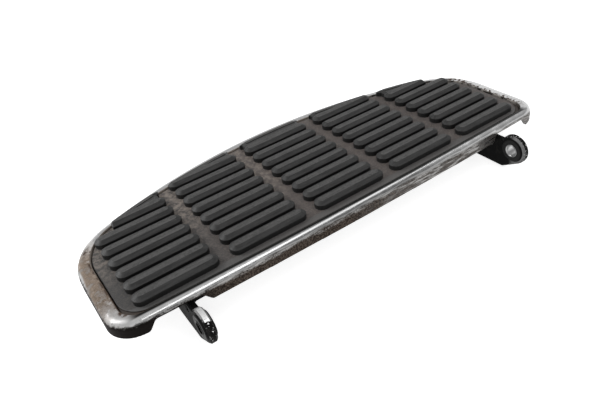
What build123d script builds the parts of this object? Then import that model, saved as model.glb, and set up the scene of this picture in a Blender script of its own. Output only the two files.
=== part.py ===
from build123d import *

import os
from math import atan, degrees, sqrt

# Motorcycle floorboard: a pressed steel pan with a ribbed rubber pad, on two hinged plate arms.
# Millimetres. The pivot axis of the arms is the X axis and the origin lies on it, halfway
# between them. +X runs along the board, +Y out across it from the straight inner edge to the
# curved outer edge, and +Z up. The front arm is at -X and the rear arm at +X.

# Board outline, a D with a barely bowed inner edge
board_length = 354.0
board_width = 135.2
inner_arc_radius = 5400.0
outer_arc_radius = 380.0
outer_corner_radius = 46.0
inner_corner_radius = 18.5

# Pivot axis to board
pivot_to_edge = 12.6
pivot_to_tread = 12.0
pivot_span = 260.0

# Pressed pan
pan_sheet = 1.4
rim_rise = 1.0
rim_width_ends = 10.0
rim_width_inner = 6.2
rim_width_outer = 9.4
shoulder_radius = 5.0
lip_radius = 0.9
edge_radius = 0.5
dish_radius = 1.2
pan_height = 11.4
recess_inner_corner = 11.5
recess_arc_radius = 410.0
recess_outer_corner = 39.0

# Beads pressed down in the pan floor
bead_width = 9.0
bead_depth = 1.6
bead_length = 130.0
bead_to_stud = 19.0

# Cut-outs of the skirt beside the arms, each starting this far from the board's middle
notch_start_front = 122.6
notch_start_rear = 125.4
notch_length = 29.6
notch_rise = 7.0
notch_lip_lean = 5.0
notch_lean_front = 6.0
notch_lean_rear = 1.0
notch_radius = 3.0
notch_foot_radius = 4.0

# Rubber pad
pad_sheet = 2.8
pad_gap = 0.7
pad_edge_radius = 0.6
pad_corner = 17.0
pad_ledge_drop = 0.9
rib_pitch = 13.4
rib_length = 56.4
rib_column_pitch = 65.1
rib_foot_to_edge = 5.8
rib_top_width = 4.5
rib_slope_width = 3.1
rib_wall_height = 3.6
rib_slope_height = 1.9

# Blocks that close the rib columns towards the curved edge, each with a shallow groove
block_arc_radius = 440.0
block_crown_to_edge = 2.1
block_to_edge = 0.7
block_slope_width = 1.2
block_end_to_column = 12.3
block_end_radius = 1.8
groove_to_edge = 2.8
groove_depth = 0.6
groove_to_rib = 0.4

# Backing plate of the pad, and the studs that hold it down
plate_sheet = 1.0
plate_margin = 3.0
pad_stud_radius = 3.0
pad_stud_to_edge = 26.0
pad_stud_to_crown = 31.2
pad_washer_to_doubler = 5.0
pad_head_radius = 6.0
stud_head_height = 0.8

# Doubler plates between the pan floor and the arms
doubler_sheet = 1.6
doubler_length = 58.0
doubler_width = 76.0
doubler_corner = 8.0
doubler_border = 6.5
doubler_to_wall = 2.4

# Arms of thick plate, with a round eye and a flange bent over at the top
arm_sheet = 5.0
eye_radius = 11.2
arm_chamfer = 1.0
arm_depth = 23.2
arm_heel = 9.5
arm_level = 36.0
arm_tail_depth = 12.0
arm_corner = 3.0
arm_knee_radius = 14.0
arm_throat_radius = 1.6
bend_relief = 2.0
bend_radius = 3.0
flange_width = 32.0
flange_length = 68.0
flange_corner = 6.0
arm_stud_radius = 4.0
arm_stud_spacing = 38.0
arm_head_radius = 6.5

# Bushes and sleeves of the pivots
bush_radius = 6.4
bush_flange_radius = 8.2
bush_flange = 1.2
bush_edge_radius = 0.4
sleeve_radius = 5.0
sleeve_bore_radius = 4.1
sleeve_proud = 0.4
sleeve_chamfer = 0.3

# Fasteners below the pan, for the pad's studs and the arms' studs
pad_washer_radius = 6.0
pad_washer_sheet = 1.2
pad_lock_radius = 5.1
pad_lock_sheet = 1.6
pad_nut_flats = 10.0
pad_nut_height = 5.0
arm_washer_radius = 8.0
arm_washer_sheet = 1.6
arm_lock_radius = 6.5
arm_lock_sheet = 2.0
arm_nut_flats = 13.0
arm_nut_height = 6.5
thread_spare = 2.0
stud_chamfer = 0.6
nut_chamfer = 0.7
lock_slit = 1.0
lock_slit_angle = 20.0

# Clearances
running_clearance = 0.06
fit_clearance = 0.1
stud_clearance = 0.4

# Heights and places that follow from the sizes above
tread_z = pivot_to_tread
rim_z = tread_z + rim_rise
skirt_z = rim_z - pan_height
plate_top_z = tread_z - pad_sheet
floor_z = plate_top_z - plate_sheet
floor_under_z = floor_z - pan_sheet
doubler_under_z = floor_under_z - doubler_sheet
flange_under_z = doubler_under_z - arm_sheet
edge_y = pivot_to_edge
crown_y = edge_y + board_width
rib_width = rib_top_width + 2 * rib_slope_width
rib_taper = degrees(atan(rib_slope_width / rib_slope_height))
rib_top_z = tread_z + rib_wall_height + rib_slope_height
block_taper = degrees(atan(block_slope_width / rib_slope_height))
block_crown_y = crown_y - rim_width_outer - pad_gap - block_crown_to_edge
first_rib_y = edge_y + rim_width_inner + pad_gap + rib_foot_to_edge + rib_width / 2
pad_length = board_length - 2 * (rim_width_ends + pad_gap)
rib_columns = int((pad_length - rib_length) / rib_column_pitch) + 1
last_column_x = (rib_columns - 1) / 2 * rib_column_pitch
block_end = last_column_x + block_end_to_column
arm_x = pivot_span / 2
web_inner_x = arm_x - arm_sheet / 2
web_outer_x = arm_x + arm_sheet / 2
dish_wall_y = edge_y + rim_width_inner - pan_sheet
doubler_y = dish_wall_y + doubler_to_wall
flange_y = doubler_y + 1.0
tail_y = flange_y + flange_length
flange_end_x = web_inner_x - flange_width
doubler_x = flange_end_x - doubler_border + doubler_length / 2
bend_z = flange_under_z - bend_radius
arm_under_z = doubler_under_z - arm_depth
arm_stud_x = (flange_end_x + web_inner_x - bend_radius) / 2
arm_stud_y = flange_y + flange_length / 2
pad_stud_x = doubler_x - doubler_length / 2 - pad_washer_to_doubler - pad_washer_radius
pad_stud_y = edge_y + pad_stud_to_edge
far_pad_stud_y = crown_y - pad_stud_to_crown
sleeve_half = arm_sheet / 2 + bush_flange + sleeve_proud
pad_stud_end_z = (
    floor_under_z - pad_washer_sheet - pad_lock_sheet - pad_nut_height - thread_spare
)
arm_stud_end_z = (
    flange_under_z - arm_washer_sheet - arm_lock_sheet - arm_nut_height - thread_spare
)
pad_stud_places = [
    (x, y) for x in (-pad_stud_x, 0, pad_stud_x) for y in (pad_stud_y, far_pad_stud_y)
]
arm_stud_places = [
    (side * arm_stud_x, arm_stud_y + row * arm_stud_spacing / 2)
    for side in (-1, 1)
    for row in (-1, 1)
]


def d_outline(ends, inner, outer, inner_corner, outer_corner, arc_radius):
    """The D set in from the board's ends, inner edge and outer edge, with its radii."""
    with BuildSketch() as profile:
        with Locations((0, edge_y + board_width / 2)):
            Rectangle(board_length - 2 * ends, 2 * board_width)
        with Locations((0, edge_y + inner_arc_radius)):
            Circle(inner_arc_radius - inner, mode=Mode.INTERSECT)
        with Locations((0, crown_y - outer - arc_radius)):
            Circle(arc_radius, mode=Mode.INTERSECT)
        fillet(profile.vertices().group_by(Axis.Y)[0], inner_corner)
        fillet(profile.vertices().group_by(Axis.Y)[-1], outer_corner)
    return profile.sketch


def board_outline(inset=0.0):
    """The board's outline, set in all round."""
    return d_outline(
        inset,
        inset,
        inset,
        inner_corner_radius - inset,
        outer_corner_radius - inset,
        outer_arc_radius - inset,
    )


def recess_outline(inset=0.0):
    """The outline of the pan's recess, set in all round."""
    return d_outline(
        rim_width_ends + inset,
        rim_width_inner + inset,
        rim_width_outer + inset,
        recess_inner_corner - inset,
        recess_outer_corner - inset,
        recess_arc_radius - inset,
    )


def pad_top_outline():
    """The outline of the pad's upper face, rounder at its inner corners than the pad below it."""
    return d_outline(
        rim_width_ends + pad_gap,
        rim_width_inner + pad_gap,
        rim_width_outer + pad_gap,
        pad_corner,
        recess_outer_corner - pad_gap,
        recess_arc_radius - pad_gap,
    )


def block_arc_y(x):
    """How far out the blocks' arc lies at x."""
    return block_crown_y - block_arc_radius + sqrt(block_arc_radius**2 - x**2)


def rib_rows(column_x):
    """How many ribs a column holds, with room beyond the last for its block and groove."""
    near_x = max(abs(column_x) - rib_length / 2, 0)
    far_x = abs(column_x) + block_end_to_column
    groove_margin = block_slope_width + groove_to_edge
    near_room = block_arc_y(near_x) - groove_margin - groove_to_rib - rib_top_width / 2
    far_room = block_arc_y(far_x) - groove_margin - block_end_radius + rib_pitch / 2
    return int((min(near_room, far_room) - first_rib_y) / rib_pitch) + 1


def block_outline(inset=0.0):
    """The outline that all ribs stay within, set in all round."""
    with BuildSketch() as profile:
        add(recess_outline(pad_gap + block_to_edge + inset))
        with Locations((0, block_crown_y - block_arc_radius)):
            Circle(block_arc_radius - inset, mode=Mode.INTERSECT)
        beyond_x = block_end - inset + rib_length / 2
        beyond_y = first_rib_y + (rib_rows(last_column_x) - 1.5) * rib_pitch + rib_length / 2
        with Locations((-beyond_x, beyond_y), (beyond_x, beyond_y)):
            Rectangle(rib_length, rib_length, mode=Mode.SUBTRACT)
        ends = profile.vertices().filter_by(lambda v: abs(abs(v.X) - block_end + inset) < 0.01)
        fillet(ends.group_by(Axis.Y)[-1], block_end_radius)
    return profile.sketch


def notch_outline(side, start, lean):
    """A cut-out of the skirt, seen from the inner edge; lean is that of its end by the middle."""
    end = start + notch_length
    with BuildSketch() as profile:
        with BuildLine():
            Polyline(
                (side * (start - lean), skirt_z),
                (side * start, skirt_z + notch_rise),
                (side * end, skirt_z + notch_rise),
                (side * (end + notch_lip_lean), skirt_z),
                close=True,
            )
        make_face()
        fillet(profile.vertices().group_by(Axis.Y)[-1], notch_radius)
        with Locations((side * (start + end) / 2, skirt_z)):
            Rectangle(2 * notch_length, notch_rise, align=(Align.CENTER, Align.MAX))
        feet = profile.vertices().filter_by(lambda v: abs(v.Y - skirt_z) < 0.01)
        fillet(feet.sort_by(Axis.X)[1:-1], notch_foot_radius)
    return profile.sketch


def arm_outline():
    """The arm's side view: eye, throat, level bottom edge and rising tail, as (Y, Z)."""
    throat_y = sqrt(eye_radius**2 - doubler_under_z**2)
    with BuildSketch() as profile:
        Circle(eye_radius)
        with Locations((arm_heel, arm_under_z + arm_corner)):
            Circle(arm_corner)
        make_hull()
        with BuildLine():
            Polyline(
                (0, doubler_under_z),
                (flange_y - bend_relief, doubler_under_z),
                (flange_y - bend_relief, bend_z),
                (tail_y, bend_z),
                (tail_y, bend_z - arm_tail_depth + arm_corner),
                (arm_level, arm_under_z),
                (arm_heel, arm_under_z),
                (0, 0),
                close=True,
            )
        make_face()
        throat = profile.vertices().sort_by_distance((throat_y, doubler_under_z))[0]
        fillet(throat, arm_throat_radius)
        knee = profile.vertices().sort_by_distance((arm_level, arm_under_z))[0]
        fillet(knee, arm_knee_radius)
        tail = profile.vertices().sort_by_distance((tail_y, bend_z - arm_tail_depth))[0]
        fillet(tail, arm_corner)
        Circle(bush_radius + fit_clearance, mode=Mode.SUBTRACT)
    return profile.sketch


def bush(face_x, way):
    """A flanged half bush in the eye, its flange against the arm's face at face_x."""
    with BuildPart() as body:
        with BuildSketch(Plane.YZ.offset(face_x)):
            Circle(bush_flange_radius)
        extrude(amount=way * bush_flange)
        rim = body.edges().filter_by(GeomType.CIRCLE).sort_by(Axis.X)
        fillet(rim[-1] if way > 0 else rim[0], bush_edge_radius)
        with BuildSketch(Plane.YZ.offset(face_x)):
            Circle(bush_radius)
        extrude(amount=-way * (arm_sheet / 2 - fit_clearance))
        with BuildSketch(Plane.YZ.offset(face_x)):
            Circle(sleeve_radius + running_clearance)
        extrude(amount=arm_sheet, both=True, mode=Mode.SUBTRACT)
    return body.part


def sleeve(middle_x):
    """A steel sleeve through the two half bushes of an eye."""
    with BuildPart() as body:
        with BuildSketch(Plane.YZ.offset(middle_x)):
            Circle(sleeve_radius)
            Circle(sleeve_bore_radius, mode=Mode.SUBTRACT)
        extrude(amount=sleeve_half, both=True)
        chamfer(body.edges().filter_by(GeomType.CIRCLE), sleeve_chamfer)
    return body.part


def studs(places, top_z, end_z, head_radius, shank_radius):
    """Flat-headed studs that point down."""
    with BuildPart() as body:
        with BuildSketch(Plane.XY.offset(top_z)):
            with Locations(*places):
                Circle(head_radius)
        extrude(amount=-stud_head_height)
        with BuildSketch(Plane.XY.offset(top_z)):
            with Locations(*places):
                Circle(shank_radius)
        extrude(amount=end_z - top_z)
        ends = body.edges().filter_by(GeomType.CIRCLE).group_by(Axis.Z)[0]
        chamfer(ends, stud_chamfer)
    return body.part


def washers(places, top_z, outer_radius, bore_radius, sheet):
    """Flat washers, each with its top at top_z."""
    with BuildPart() as body:
        with BuildSketch(Plane.XY.offset(top_z)):
            with Locations(*places):
                Circle(outer_radius)
                Circle(bore_radius, mode=Mode.SUBTRACT)
        extrude(amount=-sheet)
    return body.part


def lock_washers(places, top_z, outer_radius, bore_radius, sheet):
    """Split spring washers: rings with a slanted slit on the side of +X."""
    middle = (outer_radius + bore_radius) / 2
    with BuildPart() as body:
        with BuildSketch(Plane.XY.offset(top_z)):
            with Locations(*places):
                Circle(outer_radius)
                Circle(bore_radius, mode=Mode.SUBTRACT)
        extrude(amount=-sheet)
        for x, y in places:
            with Locations(Location((x + middle, y, top_z - sheet / 2), (lock_slit_angle, 0, 0))):
                Box(
                    2 * (outer_radius - bore_radius), lock_slit, 2 * sheet, mode=Mode.SUBTRACT
                )
    return body.part


def nuts(places, top_z, flats, bore_radius, height):
    """Hexagon nuts with bevelled corners."""
    with BuildPart() as bevel:
        with BuildSketch(Plane.XY.offset(top_z)):
            with Locations(*places):
                Circle(1.12 * flats / 2)
        extrude(amount=-height)
        chamfer(bevel.edges().filter_by(GeomType.CIRCLE), nut_chamfer / 2, nut_chamfer)
    with BuildPart() as body:
        with BuildSketch(Plane.XY.offset(top_z)):
            with Locations(*places):
                RegularPolygon(flats / 2, 6, major_radius=False)
                Circle(bore_radius, mode=Mode.SUBTRACT)
        extrude(amount=-height)
        add(bevel.part, mode=Mode.INTERSECT)
    return body.part


# Pan: one pressing with a sunk floor, a raised border, a rounded shoulder and a skirt
with BuildPart() as shell_space:
    with BuildSketch(Plane.XY.offset(skirt_z)):
        add(board_outline(pan_sheet))
    extrude(amount=pan_height - pan_sheet)
    fillet(shell_space.faces().sort_by(Axis.Z)[-1].edges(), shoulder_radius - pan_sheet)

with BuildPart() as dish:
    with BuildSketch(Plane.XY.offset(floor_under_z)):
        add(recess_outline(-pan_sheet))
    extrude(amount=rim_z - pan_sheet / 2 - floor_under_z)
    fillet(dish.faces().sort_by(Axis.Z)[0].edges(), dish_radius)

with BuildPart() as pan:
    with BuildSketch(Plane.XY.offset(skirt_z)):
        add(board_outline())
    extrude(amount=pan_height)
    fillet(pan.faces().sort_by(Axis.Z)[-1].edges(), shoulder_radius)
    add(shell_space.part, mode=Mode.SUBTRACT)
    add(dish.part)
    with BuildSketch(Plane.XY.offset(floor_z)):
        add(recess_outline())
    extrude(amount=rim_z - floor_z, mode=Mode.SUBTRACT)
    fillet(pan.faces().sort_by(Axis.Z)[-1].inner_wires()[0].edges(), lip_radius)
    fillet(pan.faces().sort_by(Axis.Z)[0].edges(), edge_radius)
    with BuildSketch(Plane.XZ.offset(-edge_y - dish_wall_y / 4)):
        add(notch_outline(-1, notch_start_front, notch_lean_front))
        add(notch_outline(1, notch_start_rear, notch_lean_rear))
    extrude(amount=dish_wall_y / 2, mode=Mode.SUBTRACT)
    bead_places = [(0, pad_stud_y + bead_to_stud), (0, far_pad_stud_y - bead_to_stud)]
    with BuildSketch(Plane.XY.offset(floor_under_z)):
        with Locations(*bead_places):
            SlotOverall(bead_length, bead_width)
    extrude(amount=-bead_depth, taper=30)
    with BuildSketch(Plane.XY.offset(floor_z)):
        with Locations(*bead_places):
            SlotOverall(bead_length - pan_sheet, bead_width - pan_sheet)
    extrude(amount=-bead_depth, taper=30, mode=Mode.SUBTRACT)
    with BuildSketch(Plane.XY.offset(floor_z)):
        with Locations(*pad_stud_places):
            Circle(pad_stud_radius + stud_clearance)
    extrude(amount=-pan_sheet, mode=Mode.SUBTRACT)
pan.part.label = "pan"

# Pad: a rubber sheet with columns of bevelled ribs, closed by blocks along the curved edge
with BuildPart() as rib_space:
    with BuildSketch(Plane.XY.offset(tread_z)):
        add(block_outline())
    extrude(amount=rib_wall_height)
    with BuildSketch(Plane.XY.offset(tread_z + rib_wall_height)):
        add(block_outline())
    extrude(amount=rib_slope_height, taper=block_taper)

with BuildPart() as ribs:
    for column in range(rib_columns):
        column_x = column * rib_column_pitch - last_column_x
        rows = rib_rows(column_x)
        last_rib_y = first_rib_y + (rows - 1) * rib_pitch
        row_places = [(column_x, first_rib_y + row * rib_pitch) for row in range(rows + 1)]
        for level, height, taper in (
            (tread_z, rib_wall_height, 0),
            (tread_z + rib_wall_height, rib_slope_height, rib_taper),
        ):
            with BuildSketch(Plane.XY.offset(level)):
                with Locations(*row_places):
                    SlotOverall(rib_length, rib_width)
            extrude(amount=height, taper=taper)
            with BuildSketch(Plane.XY.offset(level)):
                with Locations((column_x, last_rib_y + rib_pitch / 2)):
                    Rectangle(rib_length - rib_width / 2, rib_pitch + 2 * rib_slope_width)
            extrude(amount=height, taper=taper)
        with BuildSketch(Plane.XY.offset(rib_top_z)):
            with Locations((column_x, last_rib_y + rib_top_width / 2 + groove_to_rib)):
                Rectangle(rib_length, rib_pitch, align=(Align.CENTER, Align.MIN))
            add(block_outline(block_slope_width + groove_to_edge), mode=Mode.INTERSECT)
        extrude(amount=-groove_depth, mode=Mode.SUBTRACT)
    add(rib_space.part, mode=Mode.INTERSECT)

with BuildPart() as pad:
    with BuildSketch(Plane.XY.offset(floor_z)):
        add(recess_outline(pad_gap))
    extrude(amount=tread_z - pad_ledge_drop - floor_z)
    with BuildSketch(Plane.XY.offset(floor_z)):
        add(pad_top_outline())
    extrude(amount=tread_z - floor_z)
    fillet(pad.faces().sort_by(Axis.Z)[-1].edges(), pad_edge_radius)
    with BuildSketch(Plane.XY.offset(floor_z)):
        add(recess_outline(pad_gap + plate_margin - fit_clearance))
    extrude(amount=plate_sheet, mode=Mode.SUBTRACT)
    with BuildSketch(Plane.XY.offset(plate_top_z)):
        with Locations(*pad_stud_places):
            Circle(pad_head_radius + fit_clearance)
    extrude(amount=stud_head_height, mode=Mode.SUBTRACT)
    add(ribs.part)
pad.part.label = "pad"

# Backing plate, bonded into the underside of the pad
with BuildPart() as pad_plate:
    with BuildSketch(Plane.XY.offset(floor_z)):
        add(recess_outline(pad_gap + plate_margin))
        with Locations(*pad_stud_places):
            Circle(pad_stud_radius + fit_clearance, mode=Mode.SUBTRACT)
    extrude(amount=plate_sheet)
pad_plate.part.label = "pad_plate"

# Doublers, spot-welded to the underside of the pan floor, with pockets for the stud heads
with BuildPart() as rear_doubler:
    with BuildSketch(Plane.XY.offset(floor_under_z)):
        with Locations((doubler_x, doubler_y + doubler_width / 2)):
            RectangleRounded(doubler_length, doubler_width, doubler_corner)
    extrude(amount=-doubler_sheet)
    with BuildSketch(Plane.XY.offset(floor_under_z)):
        with Locations(*arm_stud_places[2:]):
            Circle(arm_head_radius + fit_clearance)
    extrude(amount=-stud_head_height, mode=Mode.SUBTRACT)
    with BuildSketch(Plane.XY.offset(floor_under_z)):
        with Locations(*arm_stud_places[2:]):
            Circle(arm_stud_radius + fit_clearance)
    extrude(amount=-doubler_sheet, mode=Mode.SUBTRACT)
rear_doubler.part.label = "rear_doubler"

with BuildPart() as front_doubler:
    mirror(rear_doubler.part, about=Plane.YZ)
front_doubler.part.label = "front_doubler"

# Arms: an upright web with the eye, and a flange bent in over it and bolted to the doubler
with BuildPart() as rear_arm:
    with BuildSketch(Plane.YZ.offset(web_inner_x)):
        add(arm_outline())
    extrude(amount=arm_sheet)
    rims = rear_arm.faces().filter_by(Plane.YZ).edges()
    chamfer(rims.filter_by(lambda e: abs(e.center().Z - bend_z) > 0.01), arm_chamfer)
    with BuildSketch(Plane.XZ.offset(-flange_y)) as bend:
        with Locations((web_outer_x, doubler_under_z)):
            Rectangle(
                flange_width + arm_sheet, doubler_under_z - bend_z, align=(Align.MAX, Align.MAX)
            )
        with Locations((web_inner_x, flange_under_z)):
            Rectangle(
                flange_width, flange_under_z - bend_z, align=(Align.MAX, Align.MAX), mode=Mode.SUBTRACT
            )
        outer_corner = bend.vertices().sort_by_distance((web_outer_x, doubler_under_z))[0]
        fillet(outer_corner, bend_radius + arm_sheet)
        inner_corner = bend.vertices().sort_by_distance((web_inner_x, flange_under_z))[0]
        fillet(inner_corner, bend_radius)
    extrude(amount=-flange_length)
    fillet(rear_arm.edges().filter_by(Axis.Z).group_by(Axis.X)[0], flange_corner)
    with BuildSketch(Plane.XY.offset(doubler_under_z)):
        with Locations(*arm_stud_places[2:]):
            Circle(arm_stud_radius + stud_clearance)
    extrude(amount=-arm_sheet, mode=Mode.SUBTRACT)
rear_arm.part.label = "rear_arm"

with BuildPart() as front_arm:
    mirror(rear_arm.part, about=Plane.YZ)
front_arm.part.label = "front_arm"

# Studs, washers, lock washers and nuts of the pad, and the same of the arms
pad_studs = studs(
    pad_stud_places,
    plate_top_z + stud_head_height,
    pad_stud_end_z,
    pad_head_radius,
    pad_stud_radius,
)
pad_studs.label = "pad_studs"
pad_washers = washers(
    pad_stud_places,
    floor_under_z,
    pad_washer_radius,
    pad_stud_radius + stud_clearance,
    pad_washer_sheet,
)
pad_washers.label = "pad_washers"
pad_lock_washers = lock_washers(
    pad_stud_places,
    floor_under_z - pad_washer_sheet,
    pad_lock_radius,
    pad_stud_radius + fit_clearance,
    pad_lock_sheet,
)
pad_lock_washers.label = "pad_lock_washers"
pad_nuts = nuts(
    pad_stud_places,
    floor_under_z - pad_washer_sheet - pad_lock_sheet,
    pad_nut_flats,
    pad_stud_radius + fit_clearance,
    pad_nut_height,
)
pad_nuts.label = "pad_nuts"

arm_studs = studs(
    arm_stud_places, floor_under_z, arm_stud_end_z, arm_head_radius, arm_stud_radius
)
arm_studs.label = "arm_studs"
arm_washers = washers(
    arm_stud_places,
    flange_under_z,
    arm_washer_radius,
    arm_stud_radius + stud_clearance,
    arm_washer_sheet,
)
arm_washers.label = "arm_washers"
arm_lock_washers = lock_washers(
    arm_stud_places,
    flange_under_z - arm_washer_sheet,
    arm_lock_radius,
    arm_stud_radius + fit_clearance,
    arm_lock_sheet,
)
arm_lock_washers.label = "arm_lock_washers"
arm_nuts = nuts(
    arm_stud_places,
    flange_under_z - arm_washer_sheet - arm_lock_sheet,
    arm_nut_flats,
    arm_stud_radius + fit_clearance,
    arm_nut_height,
)
arm_nuts.label = "arm_nuts"

# Half bushes and sleeves of the eyes
front_outer_bush = bush(-web_outer_x, -1)
front_outer_bush.label = "front_outer_bush"
front_inner_bush = bush(-web_inner_x, 1)
front_inner_bush.label = "front_inner_bush"
rear_inner_bush = bush(web_inner_x, -1)
rear_inner_bush.label = "rear_inner_bush"
rear_outer_bush = bush(web_outer_x, 1)
rear_outer_bush.label = "rear_outer_bush"
front_sleeve = sleeve(-arm_x)
front_sleeve.label = "front_sleeve"
rear_sleeve = sleeve(arm_x)
rear_sleeve.label = "rear_sleeve"

os.makedirs("parts", exist_ok=True)
export_step(pan.part, "parts/pan.step")
export_step(pad.part, "parts/pad.step")
export_step(pad_plate.part, "parts/pad_plate.step")
export_step(pad_studs, "parts/pad_studs.step")
export_step(pad_washers, "parts/pad_washers.step")
export_step(pad_lock_washers, "parts/pad_lock_washers.step")
export_step(pad_nuts, "parts/pad_nuts.step")
export_step(front_doubler.part, "parts/front_doubler.step")
export_step(rear_doubler.part, "parts/rear_doubler.step")
export_step(front_arm.part, "parts/front_arm.step")
export_step(rear_arm.part, "parts/rear_arm.step")
export_step(arm_studs, "parts/arm_studs.step")
export_step(arm_washers, "parts/arm_washers.step")
export_step(arm_lock_washers, "parts/arm_lock_washers.step")
export_step(arm_nuts, "parts/arm_nuts.step")
export_step(front_outer_bush, "parts/front_outer_bush.step")
export_step(front_inner_bush, "parts/front_inner_bush.step")
export_step(rear_inner_bush, "parts/rear_inner_bush.step")
export_step(rear_outer_bush, "parts/rear_outer_bush.step")
export_step(front_sleeve, "parts/front_sleeve.step")
export_step(rear_sleeve, "parts/rear_sleeve.step")
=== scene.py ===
import math

import bpy
from mathutils import Matrix, Vector


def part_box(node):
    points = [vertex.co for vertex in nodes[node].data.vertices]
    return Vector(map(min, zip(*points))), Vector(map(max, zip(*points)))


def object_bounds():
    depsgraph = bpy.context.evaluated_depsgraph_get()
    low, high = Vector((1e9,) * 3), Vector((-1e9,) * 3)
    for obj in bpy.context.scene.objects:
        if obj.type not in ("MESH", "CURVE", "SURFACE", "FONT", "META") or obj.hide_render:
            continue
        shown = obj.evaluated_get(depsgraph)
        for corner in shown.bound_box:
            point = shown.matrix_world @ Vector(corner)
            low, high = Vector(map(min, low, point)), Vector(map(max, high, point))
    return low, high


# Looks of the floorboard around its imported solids: camera, light, floor and materials.
# Metres, in the frame of the part: +X to the rear end, +Y out to the curved edge, +Z up.
# Near is the straight inner edge and far the curved one. Colours are in linear light.
# The CAD nodes keep their shapes and get materials here.

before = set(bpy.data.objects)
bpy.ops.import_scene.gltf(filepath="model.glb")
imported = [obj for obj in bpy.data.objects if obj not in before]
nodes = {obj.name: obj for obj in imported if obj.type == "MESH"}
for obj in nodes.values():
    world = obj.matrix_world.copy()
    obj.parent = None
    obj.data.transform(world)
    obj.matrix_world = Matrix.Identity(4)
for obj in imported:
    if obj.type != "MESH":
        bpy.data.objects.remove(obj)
cad_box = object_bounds()
MM = 0.001

# Places that the wear, the stains and the painted light and shade follow
pan_low, pan_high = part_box("pan")
pad_low, pad_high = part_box("pad")
arm_low, arm_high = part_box("front_arm")
rim_z = pan_high.z
skirt_z = pan_low.z
middle_y = (pan_low.y + pan_high.y) / 2
outer_arc_radius = 380 * MM
inner_arc_radius = 5400 * MM
corner_blend = 6 * MM
pad_inset = pad_low.y - pan_low.y
pad_end_x = pad_high.x
rib_top_z = pad_high.z
rib_height = 5.5 * MM
tread_z = rib_top_z - rib_height
eye_radius = (arm_high.z - arm_low.y) / 2
bore_radius = 4.1 * MM

# Camera, as the photograph sees the board
camera_place = Vector((-0.1905, -0.2426, 0.2517))
camera_turn = (53.69, 7.37, -34.38)
camera_lens = 36.09
camera_sensor = 36.0


def add_node(tree, kind, inputs=None, **settings):
    """A node with its settings, and with its inputs set to values or linked to sockets."""
    node = tree.nodes.new(kind)
    for name, value in settings.items():
        setattr(node, name, value)
    for name, value in (inputs or {}).items():
        if isinstance(value, bpy.types.NodeSocket):
            tree.links.new(value, node.inputs[name])
        else:
            node.inputs[name].default_value = value
    return node


def add_math(tree, operation, a, b=0.0, third=0.0):
    """The result of an operation on numbers or sockets."""
    values = {0: a, 1: b, 2: third}
    return add_node(tree, "ShaderNodeMath", values, operation=operation).outputs[0]


def add_step(tree, value, low, high, start=0.0, end=1.0):
    """start below low and end above high, or the other way round where high is below low."""
    ranges = {"Value": value, "From Min": low, "From Max": high, "To Min": start, "To Max": end}
    node = add_node(tree, "ShaderNodeMapRange", ranges, interpolation_type="SMOOTHSTEP")
    return node.outputs[0]


def grey(value, warmth=0.0):
    """A grey, a little warmer where warmth is above 0."""
    return (value * (1 + warmth), value, value * (1 - warmth), 1.0)


def rgb(red, green, blue):
    """A colour, without transparency."""
    return (red, green, blue, 1.0)


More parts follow.
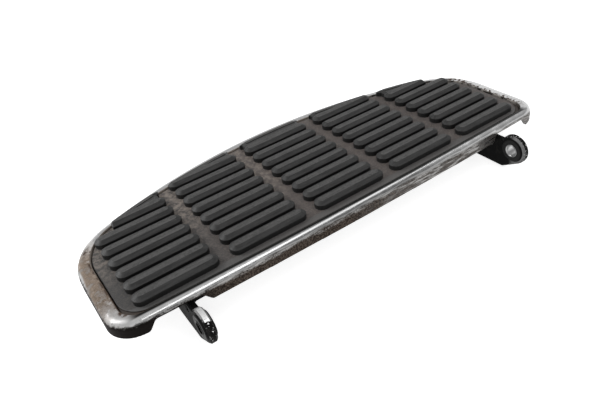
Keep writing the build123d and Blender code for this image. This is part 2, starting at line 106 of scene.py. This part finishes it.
class Surface:
    """A material of one Principled shader, and short calls for the patterns that drive it."""

    def __init__(self, name, **constants):
        self.material = bpy.data.materials.new(name)
        self.material.use_nodes = True
        self.tree = self.material.node_tree
        self.tree.nodes.clear()
        self.shader = add_node(self.tree, "ShaderNodeBsdfPrincipled")
        add_node(self.tree, "ShaderNodeOutputMaterial", {"Surface": self.shader.outputs[0]})
        for key, value in constants.items():
            self.set(key.replace("_", " "), value)
        coordinates = add_node(self.tree, "ShaderNodeTexCoord")
        self.position = coordinates.outputs["Object"]
        place = add_node(self.tree, "ShaderNodeSeparateXYZ", {0: self.position})
        self.x, self.y, self.z = place.outputs
        facing = add_node(self.tree, "ShaderNodeSeparateXYZ", {0: coordinates.outputs["Normal"]})
        self.nx, self.ny, self.nz = facing.outputs

    def set(self, name, value):
        """Gives the shader's input a value or links a socket to it."""
        if isinstance(value, bpy.types.NodeSocket):
            self.tree.links.new(value, self.shader.inputs[name])
        else:
            self.shader.inputs[name].default_value = value

    def math(self, operation, a, b=0.0, third=0.0):
        return add_math(self.tree, operation, a, b, third)

    def plus(self, a, b):
        return self.math("ADD", a, b)

    def minus(self, a, b):
        return self.math("SUBTRACT", a, b)

    def times(self, a, b):
        return self.math("MULTIPLY", a, b)

    def absolute(self, value):
        return self.math("ABSOLUTE", value)

    def length(self, a, b):
        """How far the point at a and b lies from the one at 0 and 0."""
        return self.math("SQRT", self.plus(self.math("POWER", a, 2.0), self.math("POWER", b, 2.0)))

    def step(self, value, low, high):
        """0 below low and 1 above high, or the other way round where high is below low."""
        return add_step(self.tree, value, low, high)

    def rest(self, mask):
        """1 where the mask is 0, and 0 where it is 1."""
        return self.minus(1.0, mask)

    def both(self, *masks):
        """1 where every mask is 1."""
        result = masks[0]
        for mask in masks[1:]:
            result = self.times(result, mask)
        return result

    def either(self, *masks):
        """The strongest of the masks."""
        result = masks[0]
        for mask in masks[1:]:
            result = self.math("MAXIMUM", result, mask)
        return result

    def noise(self, width, detail=3.0, stretch=(1, 1, 1), roughness=0.55, distortion=0.0):
        """Noise whose blotches are about width across, and longer where stretch is below 1."""
        stretched = {0: self.position, 1: stretch}
        vector = add_node(self.tree, "ShaderNodeVectorMath", stretched, operation="MULTIPLY")
        settings = {
            "Vector": vector.outputs[0],
            "Scale": 1 / width,
            "Detail": detail,
            "Roughness": roughness,
            "Distortion": distortion,
        }
        return add_node(self.tree, "ShaderNodeTexNoise", settings).outputs["Fac"]

    def mix(self, mask, a, b):
        """Colour a where the mask is 0, and b where it is 1."""
        colours = {0: mask, 6: a, 7: b}
        return add_node(self.tree, "ShaderNodeMix", colours, data_type="RGBA").outputs[2]

    def blend(self, mask, a, b):
        """Number a where the mask is 0, and b where it is 1."""
        numbers = {0: mask, 2: a, 3: b}
        return add_node(self.tree, "ShaderNodeMix", numbers, data_type="FLOAT").outputs[0]

    def layers(self, colour, *covers):
        """A colour under covers, each a mask and its colour, the last one on top."""
        for mask, cover in covers:
            colour = self.mix(mask, colour, cover)
        return colour

    def bump(self, height, distance, strength=1.0, rounding=0.0):
        """Relief, over edges that look rounded where rounding is above 0."""
        relief = {"Height": height, "Distance": distance, "Strength": strength}
        node = add_node(self.tree, "ShaderNodeBump", relief)
        if rounding:
            soft = add_node(self.tree, "ShaderNodeBevel", {"Radius": rounding}, samples=6)
            self.tree.links.new(soft.outputs[0], node.inputs["Normal"])
        self.set("Normal", node.outputs[0])


def from_inner_edge(s):
    """How far out a point lies from the pan's barely bowed inner edge."""
    bow = s.math("DIVIDE", s.math("POWER", s.x, 2.0), 2 * inner_arc_radius)
    return s.minus(s.minus(s.y, pan_low.y), bow)


def from_outline(s, from_inside):
    """How far in from the pan's outline a point lies, seen from above."""
    arc_middle_y = pan_high.y - outer_arc_radius
    from_arc = s.minus(outer_arc_radius, s.length(s.x, s.minus(s.y, arc_middle_y)))
    from_end = s.minus(pan_high.x, s.absolute(s.x))
    nearest = s.math("SMOOTH_MIN", from_arc, from_end, third=corner_blend)
    return s.math("SMOOTH_MIN", nearest, from_inside, third=corner_blend)


def dusty_far_side(s):
    """The far side but for the rear end, where dust has settled beside the pad."""
    return s.both(s.step(s.y, 55 * MM, 85 * MM), s.step(s.x, 100 * MM, 70 * MM))


def dust_film(s, mottle, fine, inset):
    """Where dust lies on the front end, rubbed off the outer edge of its border near the curve."""
    front = s.step(s.plus(s.x, s.times(mottle, 8 * MM)), -150 * MM, -158 * MM)
    past_corner = s.step(s.plus(s.y, s.times(mottle, 24 * MM)), 26 * MM, 58 * MM)
    before_curve = s.step(s.y, 118 * MM, 85 * MM)
    rubbed = s.times(s.step(s.y, 50 * MM, 80 * MM), 2.4 * MM)
    ragged_inset = s.minus(s.plus(inset, s.times(fine, 1.2 * MM)), rubbed)
    off_edge = s.step(ragged_inset, -0.4 * MM, 1.2 * MM)
    return s.both(front, past_corner, before_curve, off_edge, s.step(mottle, 0.24, 0.44))


def skirt_stain(s, broad, along, fine, rearward):
    """Where the skirt is stained, and at the front end also darkened as painted shade: ragged at its
    top, and lower and sparser towards the rear.
    """
    ragged = s.times(s.minus(along, 0.5), 6 * MM)
    speckled = s.times(s.minus(fine, 0.5), 4 * MM)
    drop = s.minus(s.plus(s.plus(s.z, ragged), speckled), rim_z)
    begins = s.blend(rearward, -1.6 * MM, -2.6 * MM)
    covers = s.blend(rearward, -4.0 * MM, -5.4 * MM)
    patches = s.times(s.step(s.plus(along, s.times(broad, 0.5)), 0.92, 0.66), 0.6)
    sparse = s.blend(s.step(s.x, -20 * MM, 50 * MM), 1.0, patches)
    # The lowest edge of the skirt is cleaner from the middle to the rear
    lip = s.both(s.step(s.z, skirt_z + 1.0 * MM, skirt_z + 0.4 * MM), s.step(s.x, -20 * MM, 30 * MM))
    return s.both(s.step(drop, begins, covers), sparse, s.rest(s.times(lip, 0.8)))


def chrome():
    """Worn chrome: dusty at the front end, stained brown down the skirt, rusty round the pad.
    Its bare metal carries painted reflection and painted shade.
    """
    s = Surface("worn_chrome", Specular_IOR_Level=0.05)
    broad = s.noise(38 * MM, 4)
    mottle = s.noise(6 * MM, 5, roughness=0.6)
    fine = s.noise(1.0 * MM, 4, roughness=0.65)
    along = s.noise(1.8 * MM, 4, stretch=(0.14, 1, 1), roughness=0.65)
    pits = s.noise(2.6 * MM, 3, roughness=0.55)
    from_inside = from_inner_edge(s)
    inset = from_outline(s, from_inside)
    flat_top = s.step(s.nz, 0.90, 0.98)
    side = s.step(s.nz, 0.62, 0.36)
    underside = s.step(s.nz, -0.3, -0.6)
    high = s.step(s.z, rim_z - 4.0 * MM, rim_z - 2.0 * MM)
    rearward = s.step(s.x, -140 * MM, -100 * MM)
    far_side = s.step(s.y, 30 * MM, 60 * MM)
    film = s.both(dust_film(s, mottle, fine, inset), high)
    stain = s.both(skirt_stain(s, broad, along, fine, rearward), s.rest(underside))

    # Rust on the walls round the pad, on both ends' borders beside it and under the pan.
    # A face that looks towards the pan's middle has a negative outward.
    outward = s.plus(s.times(s.nx, s.x), s.times(s.ny, s.minus(s.y, middle_y)))
    inner_wall = s.both(s.step(outward, -2 * MM, -8 * MM), s.step(s.nz, 0.985, 0.93), high)
    rear_border = s.both(s.step(s.x, 90 * MM, 120 * MM), s.step(s.y, 20 * MM, 35 * MM), flat_top)
    pit_level = s.plus(pits, s.times(s.step(inset, 4.5 * MM, 9.5 * MM), 0.24))
    front_border = s.both(s.step(inset, 7.6 * MM, 9.4 * MM), s.step(s.x, -130 * MM, -150 * MM), flat_top)
    under_patches = s.step(s.plus(mottle, s.times(broad, 0.6)), 0.84, 0.92)
    rust = s.either(
        s.both(inner_wall, s.step(mottle, 0.20, 0.36)),
        s.both(rear_border, s.step(pit_level, 0.70, 0.72)),
        s.both(front_border, s.step(mottle, 0.44, 0.56), s.step(s.y, 105 * MM, 95 * MM)),
        s.both(underside, under_patches),
    )

    # Bare metal, its grey set by region: painted darker in the middle and on the sides as painted shade,
    # painted brighter at the rear end and on the far side as painted reflection, and darker underneath
    shaded_middle_metal = s.mix(mottle, grey(0.21), grey(0.38))
    # Painted reflection at the rear end and the far side, painted shade on the middle and the sides
    painted_bright_rear_metal = s.mix(mottle, grey(0.46), grey(0.72))
    painted_bright_far_metal = s.mix(broad, grey(0.55), grey(0.80))
    shaded_side_metal = s.mix(s.step(along, 0.40, 0.60), grey(0.09, 0.03), grey(0.27, 0.02))
    under_metal = s.mix(mottle, grey(0.13, 0.02), grey(0.26, 0.01))
    front_tip = s.both(s.step(s.x, -160 * MM, -168 * MM), far_side)
    # Painted shade: the chrome beside the pad is painted near black for the shade of the gap between pad
    # and rim
    painted_gap_shade_beside_pad = s.both(
        s.step(from_inside, 3.2 * MM, 4.5 * MM),
        s.step(from_inside, 9 * MM, 7 * MM),
        s.step(s.absolute(s.x), 168 * MM, 160 * MM),
    )
    metal = s.layers(
        s.mix(mottle, grey(0.42), grey(0.62)),
        (s.step(s.x, -100 * MM, -20 * MM), shaded_middle_metal),
        (s.step(s.x, 40 * MM, 100 * MM), painted_bright_rear_metal),
        (far_side, painted_bright_far_metal),
        (front_tip, grey(0.34)),
        (side, shaded_side_metal),
        (painted_gap_shade_beside_pad, grey(0.02)),
        (underside, under_metal),
    )

    # Colours of what covers the metal
    pale = s.both(s.step(s.y, 30 * MM, 65 * MM), s.blend(s.step(mottle, 0.36, 0.56), 0.85, 0.30))
    dust = s.layers(
        s.mix(s.step(fine, 0.38, 0.62), rgb(0.062, 0.045, 0.032), rgb(0.16, 0.130, 0.106)),
        (pale, rgb(0.225, 0.178, 0.142)),
        (s.step(mottle, 0.50, 0.64), rgb(0.20, 0.182, 0.168)),
    )
    # Near black at the front end: partly stain and partly painted shade for the skirt's dark reflection
    dark_stain_and_painted_shade = s.mix(fine, rgb(0.001, 0.001, 0.001), rgb(0.009, 0.006, 0.005))
    brown_stain = s.mix(s.step(fine, 0.40, 0.62), rgb(0.016, 0.011, 0.008), rgb(0.11, 0.088, 0.072))
    stain_colour = s.mix(rearward, dark_stain_and_painted_shade, brown_stain)
    front_wall = s.step(s.x, -140 * MM, -160 * MM)
    rear_wall = s.both(s.step(s.x, 80 * MM, 110 * MM), s.step(s.y, 20 * MM, 40 * MM))
    wall_colour = s.layers(
        s.mix(fine, grey(0.010, 0.1), grey(0.05, 0.12)),
        (front_wall, s.mix(mottle, rgb(0.026, 0.018, 0.013), rgb(0.13, 0.095, 0.075))),
        (dusty_far_side(s), s.mix(mottle, rgb(0.11, 0.094, 0.082), rgb(0.24, 0.21, 0.185))),
        (rear_wall, s.mix(s.step(mottle, 0.42, 0.58), grey(0.02, 0.12), grey(0.20, 0.08))),
    )
    rust_colour = s.mix(fine, rgb(0.018, 0.011, 0.008), rgb(0.075, 0.048, 0.034))
    rust_colour = s.mix(inner_wall, rust_colour, wall_colour)
    s.set("Base Color", s.layers(metal, (stain, stain_colour), (film, dust), (rust, rust_colour)))

    dull = s.either(film, s.times(stain, 0.85), rust)
    s.set("Metallic", s.rest(s.math("MINIMUM", 1.0, s.times(dull, 1.2))))
    clean_rough = s.blend(s.step(mottle, 0.35, 0.7), 0.16, 0.28)
    clean_rough = s.blend(s.step(s.x, -155 * MM, -165 * MM), clean_rough, 0.36)
    clean_rough = s.blend(underside, clean_rough, 0.48)
    s.set("Roughness", s.blend(dull, clean_rough, 0.66))
    height = s.plus(s.times(mottle, 0.5), s.times(fine, 0.2))
    s.bump(s.plus(height, s.times(dull, 0.5)), 0.05 * MM, 0.5)
    return s.material


def rubber():
    """Weathered rubber: flats on the ribs painted lighter as painted light, slopes painted darker as
    painted shade, and a dusty sheet between them.
    """
    s = Surface("weathered_rubber", Specular_IOR_Level=0.38)
    broad = s.noise(30 * MM, 3)
    mottle = s.noise(5 * MM, 4)
    patchy = s.noise(3.2 * MM, 4, roughness=0.7)
    streaks = s.noise(1.6 * MM, 3, stretch=(0.12, 1, 1))
    grain = s.noise(1.3 * MM, 4, roughness=0.7)
    specks = s.step(s.noise(1.2 * MM, 2, roughness=0.8), 0.66, 0.72)
    fine = s.noise(0.6 * MM, 3, roughness=0.7)
    rib_flat = s.both(s.step(s.nz, 0.90, 0.99), s.step(s.z, rib_top_z - 2.0 * MM, rib_top_z - 0.3 * MM))
    rib_wall = s.step(s.nz, 0.65, 0.35)
    sheet = s.step(s.z, tread_z + 0.9 * MM, tread_z + 0.1 * MM)
    ledge = s.step(s.z, tread_z - 0.25 * MM, tread_z - 0.55 * MM)
    # Painted light: the rib flats are painted lighter grey than the slopes, for the light that falls on
    # them
    painted_lit_flat_colour = s.layers(
        s.mix(s.step(streaks, 0.25, 0.75), grey(0.014, 0.01), grey(0.046, 0.02)),
        (s.step(grain, 0.35, 0.75), grey(0.060, 0.02)),
    )

    # The sheet is dustier away from the front end and palest with dust at the far side. Along the
    # near edge it is painted lighter grey as painted light, and its outermost border is painted near
    # black as painted shade of the gap beside it.
    away = s.step(s.x, -130 * MM, -60 * MM)
    away_colour = s.mix(broad, rgb(0.048, 0.043, 0.042), rgb(0.074, 0.062, 0.058))
    grainy = s.both(s.step(grain, 0.42, 0.66), s.blend(away, 0.35, 1.0))
    far_dust = s.both(
        s.step(s.y, 40 * MM, 100 * MM),
        s.step(s.x, 60 * MM, -60 * MM),
        s.step(patchy, 0.38, 0.66),
    )
    from_pad_side = s.minus(from_inner_edge(s), pad_inset)
    # Painted light: the strip along the near edge is painted lighter against the shade that falls there
    painted_light_near_strip = s.times(s.step(from_pad_side, 6.8 * MM, 4.8 * MM), 0.7)
    # Painted shade: the outermost border beside the gap is painted near black
    border = s.either(
        s.step(from_pad_side, 0.9 * MM, 0.4 * MM),
        s.step(s.absolute(s.x), pad_end_x - 1.1 * MM, pad_end_x - 0.1 * MM),
    )
    sheet_colour = s.layers(
        s.mix(away, grey(0.027, 0.02), away_colour),
        (grainy, rgb(0.098, 0.083, 0.074)),
        (far_dust, rgb(0.175, 0.150, 0.130)),
        (painted_light_near_strip, grey(0.078, 0.01)),
        (border, grey(0.009, 0.1)),
    )

    # The thin ledge round the sheet, brown with dirt and dusty at the far side
    ledge_colour = s.layers(
        s.mix(mottle, rgb(0.012, 0.009, 0.007), rgb(0.050, 0.036, 0.027)),
        (dusty_far_side(s), rgb(0.105, 0.090, 0.078)),
    )
    speck_mask = s.times(specks, s.blend(sheet, 0.15, 0.35))
    # Painted shade: the slopes are painted darker and the rib walls near black, for the shade on them
    colour = s.layers(
        s.mix(s.step(streaks, 0.3, 0.7), grey(0.004), grey(0.018, 0.01)),
        (rib_flat, painted_lit_flat_colour),
        (sheet, sheet_colour),
        (rib_wall, grey(0.004)),
        (ledge, ledge_colour),
        (speck_mask, rgb(0.15, 0.13, 0.11)),
    )
    s.set("Base Color", colour)
    s.set("Roughness", s.blend(mottle, 0.46, 0.66))
    s.bump(s.plus(s.times(fine, 0.5), s.times(grain, 0.8)), 0.14 * MM, 0.7, rounding=0.5 * MM)
    return s.material


def paint():
    """Satin black paint, dusty, chipped to bare steel on the front eye, with a painted highlight round
    the rear one.
    """
    s = Surface("chipped_black_paint", Specular_IOR_Level=0.04)
    mottle = s.noise(5 * MM, 4)
    fine = s.noise(0.8 * MM, 3)
    chips = s.noise(1.7 * MM, 5, roughness=0.65, distortion=0.4)
    face = s.step(s.absolute(s.nx), 0.5, 0.8)
    edge = s.rest(face)
    front = s.step(s.x, -100 * MM, -110 * MM)
    rear = s.step(s.x, 100 * MM, 110 * MM)

    # Bare steel on top of the front eye, and chips at the edges of both eyes and on the faces
    ragged_z = s.plus(s.z, s.times(s.minus(chips, 0.5), 14 * MM))
    eye_top = s.step(ragged_z, eye_radius - 3.2 * MM, eye_radius - 2.2 * MM)
    eye_edge = s.both(edge, s.step(s.y, 12 * MM, 9 * MM))
    bare = s.either(
        s.both(front, eye_top, edge, s.step(chips, 0.24, 0.30)),
        s.both(eye_edge, s.step(chips, 0.60, 0.62)),
        s.both(face, s.step(chips, 0.74, 0.76)),
    )

    # Painted highlight: a grey ring round the outer edge of the rear eye's face, on the side away from
    # the board
    from_axis = s.length(s.y, s.z)
    ring = s.both(
        s.step(from_axis, eye_radius - 2.4 * MM, eye_radius - 1.6 * MM),
        s.step(s.y, 3.0 * MM, -2.0 * MM),
        face,
        rear,
    )
    colour = s.layers(
        s.mix(mottle, grey(0.003), grey(0.007, 0.02)),
        (s.step(mottle, 0.5, 0.8), grey(0.018, 0.06)),
        (ring, s.mix(fine, grey(0.10), grey(0.24))),
        (bare, s.mix(fine, grey(0.60), grey(0.95))),
    )
    s.set("Base Color", colour)
    s.set("Metallic", bare)
    s.set("Roughness", s.blend(bare, s.blend(mottle, 0.5, 0.7), 0.38))
    s.bump(s.minus(s.times(fine, 0.3), bare), 0.06 * MM, 0.5)
    return s.material


def steel(name, light, rough, rusty):
    """Plain or plated steel, with more rust the higher rusty is."""
    s = Surface(name)
    mottle = s.noise(6 * MM, 4)
    fine = s.noise(0.6 * MM, 3)
    rust = s.step(mottle, 0.72 - 0.2 * rusty, 0.80 - 0.2 * rusty)
    metal = s.mix(mottle, grey(light * 0.75, 0.02), grey(light, 0.01))
    rust_colour = s.mix(fine, rgb(0.05, 0.028, 0.018), rgb(0.16, 0.09, 0.05))
    s.set("Base Color", s.mix(rust, metal, rust_colour))
    s.set("Metallic", s.rest(s.times(rust, 0.9)))
    s.set("Roughness", s.blend(rust, s.blend(fine, rough, rough + 0.15), 0.8))
    s.bump(s.plus(fine, rust), 0.04 * MM, 0.5)
    return s.material


def sleeve_steel():
    """Dull steel, greasy and dark at the front and rubbed bright in the rear sleeve's bore."""
    s = Surface("sleeve_steel", Metallic=1.0)
    fine = s.noise(0.6 * MM, 3)
    bore = s.step(s.length(s.y, s.z), bore_radius + 0.4 * MM, bore_radius + 0.1 * MM)
    rear_colour = s.mix(bore, s.mix(fine, grey(0.10), grey(0.26)), grey(0.45))
    s.set("Base Color", s.mix(s.step(s.x, -100 * MM, 100 * MM), grey(0.03), rear_colour))
    s.set("Roughness", s.blend(bore, s.blend(fine, 0.36, 0.5), 0.28))
    s.bump(fine, 0.03 * MM, 0.4)
    return s.material


def polymer():
    """Dark bearing polymer, polished a little by use."""
    s = Surface("bush_polymer", Specular_IOR_Level=0.08)
    mottle = s.noise(3 * MM, 3)
    s.set("Base Color", s.mix(mottle, grey(0.005), grey(0.014, 0.02)))
    s.set("Roughness", s.blend(mottle, 0.32, 0.5))
    s.bump(mottle, 0.04 * MM, 0.5)
    return s.material


def dress(material, *names):
    """Gives CAD nodes one material."""
    for name in names:
        mesh = nodes[name].data
        mesh.materials.clear()
        mesh.materials.append(material)


dress(chrome(), "pan")
dress(rubber(), "pad")
dress(paint(), "front_arm", "rear_arm")
dress(polymer(), "front_outer_bush", "front_inner_bush", "rear_inner_bush", "rear_outer_bush")
dress(sleeve_steel(), "front_sleeve", "rear_sleeve")
dress(
    steel("plain_steel", light=0.45, rough=0.42, rusty=0.6),
    "pad_plate",
    "front_doubler",
    "rear_doubler",
)
dress(
    steel("fastener_steel", light=0.55, rough=0.36, rusty=0.35),
    "pad_studs",
    "pad_washers",
    "pad_lock_washers",
    "pad_nuts",
    "arm_studs",
    "arm_washers",
    "arm_lock_washers",
    "arm_nuts",
)

# Floor just below the arms, white to the camera but for the board's faint shadow
floor_size = 6.0
floor_drop = 1.0 * MM
floor_glow = 0.82
floor_white = 0.55
bpy.ops.mesh.primitive_plane_add(size=floor_size, location=(0, 0, cad_box[0].z - floor_drop))
floor = bpy.context.object
floor.name = "floor"
floor_material = bpy.data.materials.new("floor_white")
floor_material.use_nodes = True
tree = floor_material.node_tree
tree.nodes.clear()
path = add_node(tree, "ShaderNodeLightPath")
seen = path.outputs["Is Camera Ray"]
for ray in ("Is Glossy Ray", "Is Transmission Ray"):
    seen = add_math(tree, "MAXIMUM", seen, path.outputs[ray])
diffuse = add_node(tree, "ShaderNodeBsdfDiffuse", {"Color": grey(floor_white)})
strength = add_math(tree, "MULTIPLY", seen, floor_glow)
glow = add_node(tree, "ShaderNodeEmission", {"Color": grey(1.0), "Strength": strength})
total = add_node(tree, "ShaderNodeAddShader", {0: diffuse.outputs[0], 1: glow.outputs[0]})
add_node(tree, "ShaderNodeOutputMaterial", {"Surface": total.outputs[0]})
floor.data.materials.append(floor_material)

# World: white round the horizon, dimmer above it, most so at the near side, and brighter beyond
# the far side of the rear end
world = bpy.data.worlds.new("studio")
bpy.context.scene.world = world
world.use_nodes = True
tree = world.node_tree
tree.nodes.clear()
direction = add_node(tree, "ShaderNodeTexCoord")
axes = add_node(tree, "ShaderNodeSeparateXYZ", {0: direction.outputs["Generated"]})
x, y, z = axes.outputs
overhead = add_step(tree, z, 0.60, 0.95, start=0.48, end=0.75)
near_dimming = add_step(tree, y, -0.1, -0.5, start=1.0, end=0.80)
rear_glow = add_step(tree, x, 0.45, 0.75, end=0.55)
far_mask = add_step(tree, y, 0.1, 0.4)
horizon = add_step(tree, z, 0.34, 0.44, start=1.0, end=0.0)
dimmed = add_math(tree, "MULTIPLY", overhead, near_dimming)
above = add_math(tree, "ADD", dimmed, add_math(tree, "MULTIPLY", rear_glow, far_mask))
strength = add_math(tree, "MAXIMUM", above, horizon)
studio = add_node(tree, "ShaderNodeBackground", {"Color": grey(1.0), "Strength": strength})
add_node(tree, "ShaderNodeOutputWorld", {"Surface": studio.outputs[0]})


def add_object(name, data, place, turn):
    """An object of the scene at a place, with its turn in radians."""
    thing = bpy.data.objects.new(name, data)
    thing.location = place
    thing.rotation_euler = turn
    bpy.context.scene.collection.objects.link(thing)
    return thing


def softbox(name, place, target, size, power):
    """A square soft lamp that looks at a point."""
    lamp = bpy.data.lights.new(name, "AREA")
    lamp.size = size
    lamp.energy = power
    turn = (Vector(target) - Vector(place)).to_track_quat("-Z", "Y").to_euler()
    add_object(name, lamp, place, turn)


def strip_light(name, start, end, target, width, power):
    """A long narrow lamp from start to end, turned about its length to look at a point."""
    start, end = Vector(start), Vector(end)
    middle = (start + end) / 2
    along = (end - start).normalized()
    back = middle - Vector(target)
    back = (back - along * back.dot(along)).normalized()
    lamp = bpy.data.lights.new(name, "AREA")
    lamp.shape = "RECTANGLE"
    lamp.size = (end - start).length
    lamp.size_y = width
    lamp.energy = power
    add_object(name, lamp, middle, Matrix((along, back.cross(along), back)).transposed().to_euler())


# A key light from the far side of the front end, a strip that draws the line of light along the
# near edge, and a weak fill from the near side
softbox("key", place=(-0.75, 0.6, 0.65), target=(0, 0.08, 0), size=0.6, power=9)
strip_light(
    "strip",
    start=(-0.08, -0.67, 0.8),
    end=(0.56, 0.16, 0.8),
    target=(0, 0.02, 0.015),
    width=0.24,
    power=1.9,
)
softbox("front_fill", place=(-0.5, -0.8, 0.6), target=(0, 0.05, 0), size=0.8, power=1.0)

camera_data = bpy.data.cameras.new("camera")
camera_data.lens = camera_lens
camera_data.sensor_width = camera_sensor
camera_radians = [math.radians(turn) for turn in camera_turn]
camera = add_object("camera", camera_data, camera_place, camera_radians)
bpy.context.scene.camera = camera
bpy.context.scene.view_settings.view_transform = "Standard"
